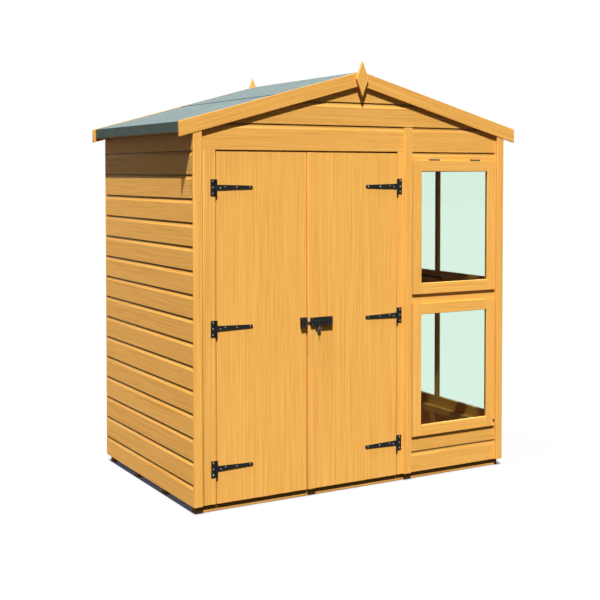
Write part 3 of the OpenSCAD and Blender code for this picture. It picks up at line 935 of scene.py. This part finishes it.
def build_windows():
    """The sashes of both walls, their panes, and the hinges over the upper front sash."""
    for node, place, axis, has_bar in (("front_sashes", front_place, 0, False),
                                       ("right_sashes", right_place, 1, True)):
        low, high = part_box(node)
        wide = high[axis] - low[axis]
        bars = [wide / 2] if has_bar else []
        both = bmesh.new()
        for foot in (LOWER_SASH_Z, UPPER_SASH_Z):
            append(both, build_sash(place(low, high, foot), wide, bars))
        place_piece(both, node + "_wood", HONEY, "shed", "honey_wood", node)
    bm = node_mesh("window_glass")
    round_edges(bm, PANE_EASE)
    place_piece(bm, "window_panes", GLASS, "shed", "pale_glass", "window_glass")
    bm = node_mesh("window_hinges")
    place_piece(bm, "window_hinges_steel", DARK_STEEL, "shed", "bright_steel", "window_hinges")


def build_window_fittings():
    """A stay on its pegs inside the right-hand upper sash, and a fixing on the front lower sash."""
    stay = bmesh.new()
    add_box(stay, STAY_LOW, STAY_HIGH)
    for foot, radius, length in STAY_PEGS:
        add_lathe(stay, foot, -X, ((radius, 0), (radius, length)), PEG_STEPS)
    face_outwards(stay)
    place_piece(stay, "window_stay", IRON, "shed", "black_iron")
    fixing = bmesh.new()
    add_lathe(fixing, FIXING_PLACE, -Y, FIXING_OUTLINE, SCREW_STEPS)
    place_piece(fixing, "sash_fixing", IRON, "shed", "black_iron")


# Roof covering


def build_felt():
    """Felt sheets: pale on top, with painted shade where they turn down and on their cut edges."""
    for node in ("left_roof_felt", "right_roof_felt", "ridge_felt"):
        bm = node_mesh(node)
        round_edges(bm, FELT_EASE)
        face_outwards(bm)
        # Faces that turn down or aside take the painted shade.
        for face in bm.faces:
            face.material_index = 0 if face.normal.z > FELT_UPWARD else 1
        piece = place_piece(bm, node + "_sheet", FELT, "shed", "roofing_felt", node)
        piece.data.materials.append(FELT_SHADED)


# Ironwork


def add_screw(bm, place, out, scale=1.0):
    """A domed screw head with a dent in its middle."""
    outline = [(radius * scale * MM, height * scale * MM) for radius, height in SCREW_OUTLINE]
    add_lathe(bm, place, out, outline, SCREW_STEPS)


def build_iron():
    """Hinges and lock keep the shape of their solids."""
    for node, body in (("hinge_plates", "shed"), ("left_hinge_straps", "left_door"),
                       ("right_hinge_straps", "right_door"), ("lock_case", "right_door"),
                       ("lock_keeper", "left_door")):
        place_piece(node_mesh(node), node + "_iron", IRON, body, "black_iron", node)
    for node, body in (("lock_bolt", "lock_bolt"), ("lock_keys", "right_door")):
        place_piece(node_mesh(node), node + "_steel", DARK_STEEL, body, "bright_steel", node)


def build_hinge_screws():
    """Screws in the plates on the jambs, and in the straps on each door."""
    screws = bmesh.new()
    for pin, side in ((LEFT_PIN_X, -1), (RIGHT_PIN_X, 1)):
        for height in HINGE_Z:
            for rise in PLATE_SCREW_RISES:
                place = Vector((pin + side * PLATE_SCREW_RUN, IRON_FACE, height + rise))
                add_screw(screws, place, -Y)
    place_piece(screws, "hinge_plate_screws", STEEL, "shed", "bright_steel")
    for pin, side, body in ((LEFT_PIN_X, 1, "left_door"), (RIGHT_PIN_X, -1, "right_door")):
        screws = bmesh.new()
        for height in HINGE_Z:
            for run, rise in STRAP_SCREWS:
                place = Vector((pin + side * run, IRON_FACE, height + rise))
                add_screw(screws, place, -Y, STRAP_SCREW_SCALE)
        place_piece(screws, body + "_strap_screws", STEEL, body, "bright_steel")


def add_barrel(bm, start, end, face):
    """A low round ridge over the bolt, on a plate's face."""
    widest = math.acos(1 - BARREL_RISE / BARREL_R)
    outline = []
    for i in range(BARREL_STEPS + 1):
        angle = widest * (2 * i / BARREL_STEPS - 1)
        out = BARREL_R * (math.cos(angle) - 1) + BARREL_RISE
        outline.append((face - out, LOCK_Z + BARREL_R * math.sin(angle)))
    foot = face + BARREL_SINK
    outline += [(foot, outline[-1][1]), (foot, outline[0][1])]
    add_prism(bm, *[[Vector((x, y, z)) for y, z in outline] for x in (start, end)])


def build_lock_details():
    """The ridge over the bolt and four screws, on the lock's case and on its keeper."""
    for node, body in (("lock_case", "right_door"), ("lock_keeper", "left_door")):
        low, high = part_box(node)
        ridge = bmesh.new()
        end = low.x + CASE_BARREL_L if node == "lock_case" else high.x - BARREL_INSET
        add_barrel(ridge, low.x + BARREL_INSET, end, low.y)
        place_piece(ridge, node + "_barrel", IRON, body, "black_iron")
        screws = bmesh.new()
        for x in (low.x + LOCK_SCREW_INSET, high.x - LOCK_SCREW_INSET):
            for z in (low.z + LOCK_SCREW_INSET, high.z - LOCK_SCREW_INSET):
                add_screw(screws, Vector((x, low.y, z)), -Y, LOCK_SCREW_SCALE)
        place_piece(screws, node + "_screws", DARK_STEEL, body, "bright_steel")


# Stage


def build_camera():
    """The camera that was fitted to the photo."""
    lens = bpy.data.cameras.new("camera")
    lens.sensor_width = SENSOR_W
    lens.lens = LENS
    lens.shift_y = LENS_SHIFT
    camera = bpy.data.objects.new("camera", lens)
    camera.location = CAMERA_PLACE
    camera.rotation_euler = (math.radians(90 - CAMERA_DOWN), 0, -math.radians(CAMERA_TURN))
    scene.collection.objects.link(camera)
    scene.camera = camera


def build_lamps():
    """Two suns from the front left, and a soft fill from behind."""
    for name, energy, angle, travel in LAMPS:
        lamp = bpy.data.lights.new(name, "SUN")
        lamp.energy = energy
        lamp.angle = math.radians(angle)
        sun = bpy.data.objects.new(name, lamp)
        sun.rotation_euler = Vector(travel).to_track_quat("-Z", "Y").to_euler()
        scene.collection.objects.link(sun)


def shows_background(tree):
    """1 for rays that show the background: straight, mirrored or through glass."""
    path = add_node(tree, "ShaderNodeLightPath")
    either = maths(tree, "MAXIMUM", path.outputs["Is Camera Ray"], path.outputs["Is Glossy Ray"])
    return maths(tree, "MAXIMUM", either, path.outputs["Is Transmission Ray"])


def build_world():
    """White behind the shed, and a dim sky that lights it from above."""
    world = bpy.data.worlds.new("world")
    scene.world = world
    world.use_nodes = True
    tree = world.node_tree
    back = tree.nodes["Background"]
    back.inputs["Color"].default_value = WHITE
    back.inputs["Strength"].default_value = 1.0
    aim = add_node(tree, "ShaderNodeTexCoord").outputs["Generated"]
    rise = add_node(tree, "ShaderNodeSeparateXYZ", {"Vector": aim}).outputs["Z"]
    strength = maths(tree, "MULTIPLY_ADD", maths(tree, "MAXIMUM", rise, 0.0), SKY, HORIZON)
    sky = add_node(tree, "ShaderNodeBackground", {"Color": SKY_COLOUR, "Strength": strength})
    mix = mix_shaders(tree, shows_background(tree), sky, back)
    tree.links.new(mix.outputs[0], tree.nodes["World Output"].inputs["Surface"])


def ground_material():
    """Pale ground that shows white and keeps a faint shadow; close to what stands on it, it takes a
    painted contact shade with a faint bluish glow.
    """
    material, tree, shader = start_material("pale_ground")
    shader.inputs["Base Color"].default_value = GROUND_BOUNCE
    shader.inputs["Roughness"].default_value = 1.0
    shader.inputs["Specular IOR Level"].default_value = 0.0
    contact = add_node(
        tree, "ShaderNodeAmbientOcclusion", {"Distance": CONTACT_REACH}, samples=CONTACT_SAMPLES,
    )
    # Painted contact shade: where the occlusion is high the white glow gives way to plain lit ground
    # and a faint glow.
    near = add_node(tree, "ShaderNodeMapRange", {
        "Value": contact.outputs["AO"], "From Min": CONTACT_NEAR, "From Max": CONTACT_FAR,
        "To Min": 1.0, "To Max": 0.0,
    }).outputs["Result"]
    zones = []
    for glow, colour, albedo in ((GROUND_GLOW, WHITE, GROUND_THIN),
                                 (1.0, CONTACT_SHADE_GLOW, CONTACT_ALBEDO)):
        own = add_node(tree, "ShaderNodeEmission", {"Color": colour, "Strength": glow})
        lit = add_node(tree, "ShaderNodeBsdfDiffuse", {"Color": albedo})
        zones.append(add_node(tree, "ShaderNodeAddShader", {0: own.outputs[0], 1: lit.outputs[0]}))
    both = mix_shaders(tree, near, *zones)
    mix = mix_shaders(tree, shows_background(tree), shader, both)
    tree.links.new(mix.outputs[0], tree.nodes["Material Output"].inputs["Surface"])
    return material


def build_ground():
    """A wide sheet just under the bearers."""
    bm = bmesh.new()
    bmesh.ops.create_grid(bm, x_segments=1, y_segments=1, size=GROUND_REACH)
    mesh = bpy.data.meshes.new("floor_stage")
    bm.to_mesh(mesh)
    bm.free()
    mesh.materials.append(ground_material())
    ground = bpy.data.objects.new("floor_stage", mesh)
    ground.location.z = -GROUND_DROP
    scene.collection.objects.link(ground)


scene.view_settings.view_transform = "Standard"
build_camera()
build_lamps()
build_world()
build_ground()
build_side_walls()
build_end_walls()
build_window_rails()
build_timber()
build_windows()
build_felt()
build_iron()
build_hinge_screws()
build_lock_details()
build_window_fittings()
